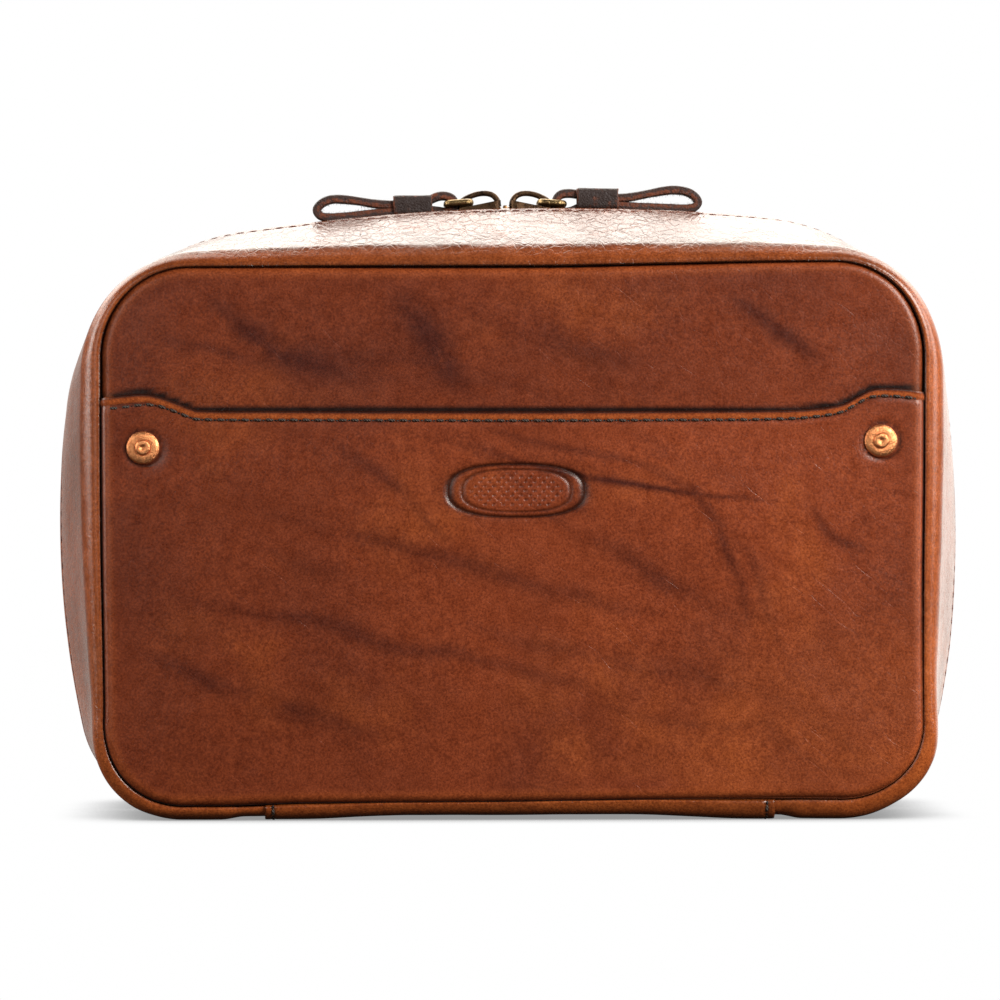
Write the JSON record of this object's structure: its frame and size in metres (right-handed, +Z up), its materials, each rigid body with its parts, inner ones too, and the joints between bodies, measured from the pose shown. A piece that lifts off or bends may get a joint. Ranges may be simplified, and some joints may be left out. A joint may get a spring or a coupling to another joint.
{
  "type": "toiletry bag",
  "caption": "Leather toiletry bag of rounded trays that meet at a zipper with leather pulls, fold open about the base, and carry a riveted slip pocket in front.",
  "frame": {"origin": "on the surface that the closed bag stands on, below the middle of the bag", "axes": "+X to the right of the front panel, +Y towards the back, +Z up; the zipper's meeting plane is Y = 0"},
  "size_m": [0.266, 0.0938, 0.1845],
  "materials": {
    "panel_leather": "glossy vegetable-tanned, marbled",
    "gusset_leather": "glossy vegetable-tanned, rolled edge",
    "pull_leather": "oiled, raw cut edges",
    "lining": "woven",
    "zipper_tape": "woven tape",
    "zipper_metal": "antique",
    "slider_bronze": "dark antique",
    "ring_brass": "rubbed antique",
    "rivet_copper": "hammered copper"
  },
  "bodies": {
    "back": {"back_panel": "panel_leather", "back_gusset": "gusset_leather", "back_base": "gusset_leather", "back_lining": "lining", "back_zipper_tape": "zipper_tape", "back_zipper_teeth": "zipper_metal", "back_end_stops": "zipper_metal"},
    "front": {"front_panel": "panel_leather", "front_pocket": "panel_leather", "front_gusset": "gusset_leather", "front_base": "gusset_leather", "front_lining": "lining", "front_zipper_tape": "zipper_tape", "front_zipper_teeth": "zipper_metal", "front_end_stops": "zipper_metal", "rivet_left": "rivet_copper", "rivet_right": "rivet_copper", "burr_left": "rivet_copper", "burr_right": "rivet_copper"},
    "slider_left": {"slider_body_left": "slider_bronze", "slider_crown_left": "slider_bronze"},
    "ring_left": {"pull_ring_left": "ring_brass"},
    "pull_left": {"pull_strap_left": "pull_leather", "pull_keeper_left": "pull_leather"},
    "slider_right": {"slider_body_right": "slider_bronze", "slider_crown_right": "slider_bronze"},
    "ring_right": {"pull_ring_right": "ring_brass"},
    "pull_right": {"pull_strap_right": "pull_leather", "pull_keeper_right": "pull_leather"}
  },
  "joints": [
    {"name": "front_open", "type": "hinge", "parent": "back", "child": "front", "pos_m": [0, 0, 0], "axis": [1, 0, 0], "range_deg": [0, 175]},
    {"name": "slider_left_travel", "type": "hinge", "parent": "back", "child": "slider_left", "pos_m": [0, 0, -0.3769], "axis": [0, -1, 0], "range_deg": [0, 6.5], "deforming": ["front_zipper_teeth", "back_zipper_teeth"]},
    {"name": "slider_right_travel", "type": "hinge", "parent": "back", "child": "slider_right", "pos_m": [0, 0, -0.3769], "axis": [0, 1, 0], "range_deg": [0, 6.7], "deforming": ["front_zipper_teeth", "back_zipper_teeth"]},
    {"name": "ring_left_lift", "type": "hinge", "parent": "slider_left", "child": "ring_left", "pos_m": [-0.01127, 0, 0.18099], "axis": [0, 1, 0], "range_deg": [0, 90]},
    {"name": "ring_right_lift", "type": "hinge", "parent": "slider_right", "child": "ring_right", "pos_m": [0.00965, 0, 0.18102], "axis": [0, -1, 0], "range_deg": [0, 90]},
    {"name": "pull_left_swing", "type": "hinge", "parent": "ring_left", "child": "pull_left", "pos_m": [-0.01815, 0, 0.18054], "axis": [0, 1, 0], "range_deg": [0, 80]},
    {"name": "pull_right_swing", "type": "hinge", "parent": "ring_right", "child": "pull_right", "pos_m": [0.01654, 0, 0.18059], "axis": [0, -1, 0], "range_deg": [0, 80]}
  ]
}
